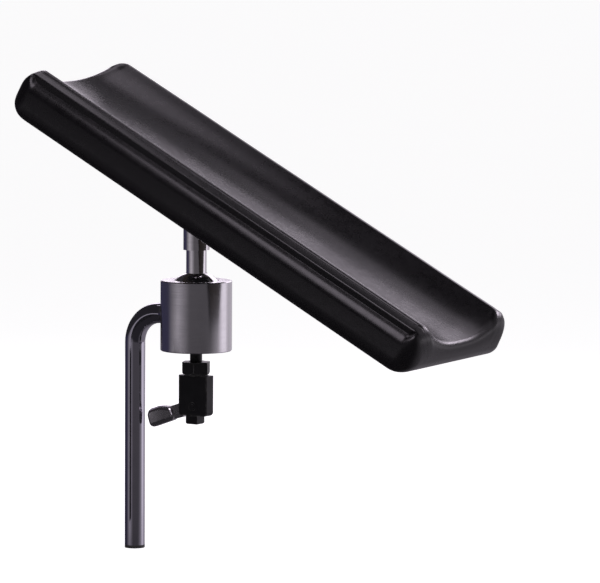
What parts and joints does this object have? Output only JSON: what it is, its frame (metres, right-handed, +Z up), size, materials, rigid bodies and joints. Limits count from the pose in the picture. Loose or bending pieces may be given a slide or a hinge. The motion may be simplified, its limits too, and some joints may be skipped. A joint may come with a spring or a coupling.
{
  "type": "chair armrest pad",
  "caption": "Long padded forearm trough on a lockable ball joint with a cam lever, carried by a bent tube that plugs into a chair frame.",
  "frame": {"origin": "centre of the upright tube's lower end, where it plugs into the chair frame", "axes": "+Z up along the upright tube, +X level towards the pad's low front end, +Y to the pad's left"},
  "size_m": [0.4661, 0.185, 0.4801],
  "materials": {
    "skin": "satin moulded cover with a fine grain",
    "foam": "soft polyurethane foam",
    "board": "plywood faced with a dark resin film",
    "chromed_tube": "bright chrome",
    "polished_steel": "polished stainless",
    "turned_steel": "fine turned stainless",
    "plain_steel": "machined, lightly oiled",
    "zinc_steel": "bright zinc",
    "black_steel": "black oxide, semi-gloss",
    "lever_steel": "polished, dulled by handling",
    "spring_steel": "blued spring steel",
    "bronze": "sintered bronze",
    "liner": "slippery white liner plastic",
    "black_plastic": "moulded, fine matt"
  },
  "bodies": {
    "post": {"post_tube": "chromed_tube", "post_plug": "black_plastic", "weld_bead": "turned_steel", "clamp_housing": "turned_steel", "seat_ring": "plain_steel", "base_plug": "turned_steel", "neck_tube": "black_steel", "lock_nut": "black_steel", "lock_washer": "black_steel", "clamp_bracket": "black_steel", "stop_block": "black_steel", "pivot_pin": "black_steel", "pin_clips": "black_steel"},
    "plunger": {"push_rod": "plain_steel", "thrust_washer": "plain_steel", "disc_springs": "spring_steel", "pressure_cup": "plain_steel"},
    "lever": {"cam_lever": "lever_steel", "cam_bush": "bronze"},
    "swivel_ring": {"upper_liner": "liner"},
    "tilt_ring": {"lower_liner": "liner"},
    "arm": {"ball": "polished_steel", "stem": "polished_steel", "sleeve": "polished_steel", "grub_screws": "spring_steel", "pad_plate": "black_steel", "pad_screws": "zinc_steel", "screw_washers": "zinc_steel", "tee_nuts": "zinc_steel", "base_board": "board", "foam_core": "foam", "pad_skin": "skin"}
  },
  "joints": [
    {"name": "swivel", "type": "hinge", "parent": "post", "child": "swivel_ring", "pos_m": [0.072, 0, 0.251], "axis": [0, 0, 1], "continuous": true},
    {"name": "side_tilt", "type": "hinge", "parent": "swivel_ring", "child": "tilt_ring", "pos_m": [0.072, 0, 0.251], "axis": [1, 0, 0], "range_deg": [-18, 18]},
    {"name": "fore_tilt", "type": "hinge", "parent": "tilt_ring", "child": "arm", "pos_m": [0.072, 0, 0.251], "axis": [0, 1, 0], "range_deg": [-18, 18]},
    {"name": "lever_open", "type": "hinge", "parent": "post", "child": "lever", "pos_m": [0.072, 0, 0.1458], "axis": [0, 1, 0], "range_deg": [0, 55]},
    {"name": "plunger_drop", "type": "slide", "parent": "post", "child": "plunger", "axis": [0, 0, -1], "range_m": [0, 0.001]}
  ],
  "couplings": [
    {"joint": "plunger_drop", "follows": "lever_open", "m_per_rad": 0.00104}
  ]
}
